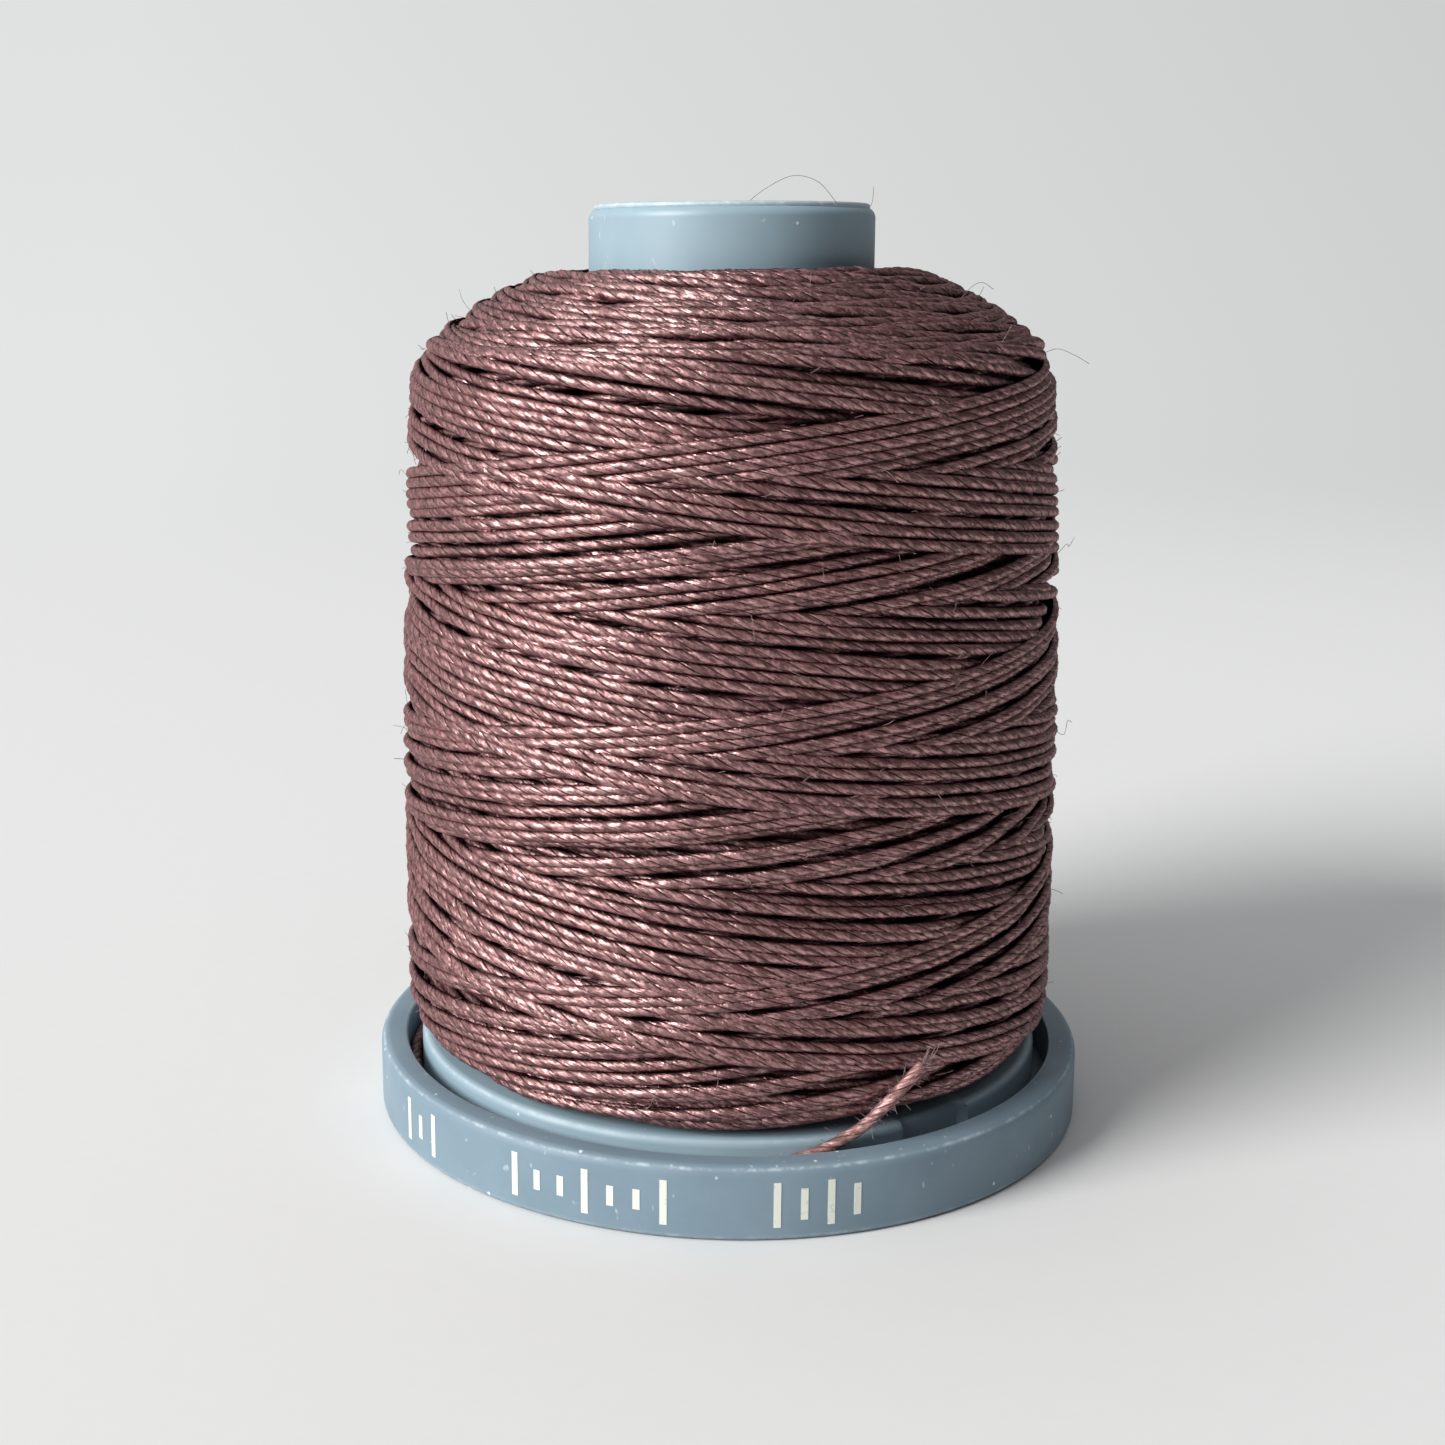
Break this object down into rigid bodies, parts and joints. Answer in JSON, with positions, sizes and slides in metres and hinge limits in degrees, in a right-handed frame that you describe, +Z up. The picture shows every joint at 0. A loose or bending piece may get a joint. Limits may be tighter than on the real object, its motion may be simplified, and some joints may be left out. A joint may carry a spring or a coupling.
{
  "type": "waxed thread spool",
  "caption": "Round snap-together thread spool: cross-wound waxed thread on a tubular core, with a dished base that grips the thread's free end.",
  "frame": {"origin": "centre of the base's underside, on the spool's axis", "axes": "+Z up along the spool's axis; -Y towards the front, where the thread's free end comes out"},
  "size_m": [0.034, 0.034, 0.0427],
  "materials": {
    "base_plastic": "moulded blue-grey plastic, satin, lightly scuffed",
    "core_plastic": "moulded blue-grey plastic, satin",
    "waxed_thread": "waxed plied thread, tightly wound",
    "loose_thread": "waxed plied thread, loose end"
  },
  "bodies": {
    "base": {"base_cap": "base_plastic"},
    "core": {"spool_core": "core_plastic", "thread_winding": "waxed_thread", "thread_tail": "loose_thread"}
  },
  "joints": [
    {"name": "lock_slide", "type": "slide", "parent": "base", "child": "core", "axis": [0, 0, 1], "range_m": [0, 0.0022]}
  ]
}
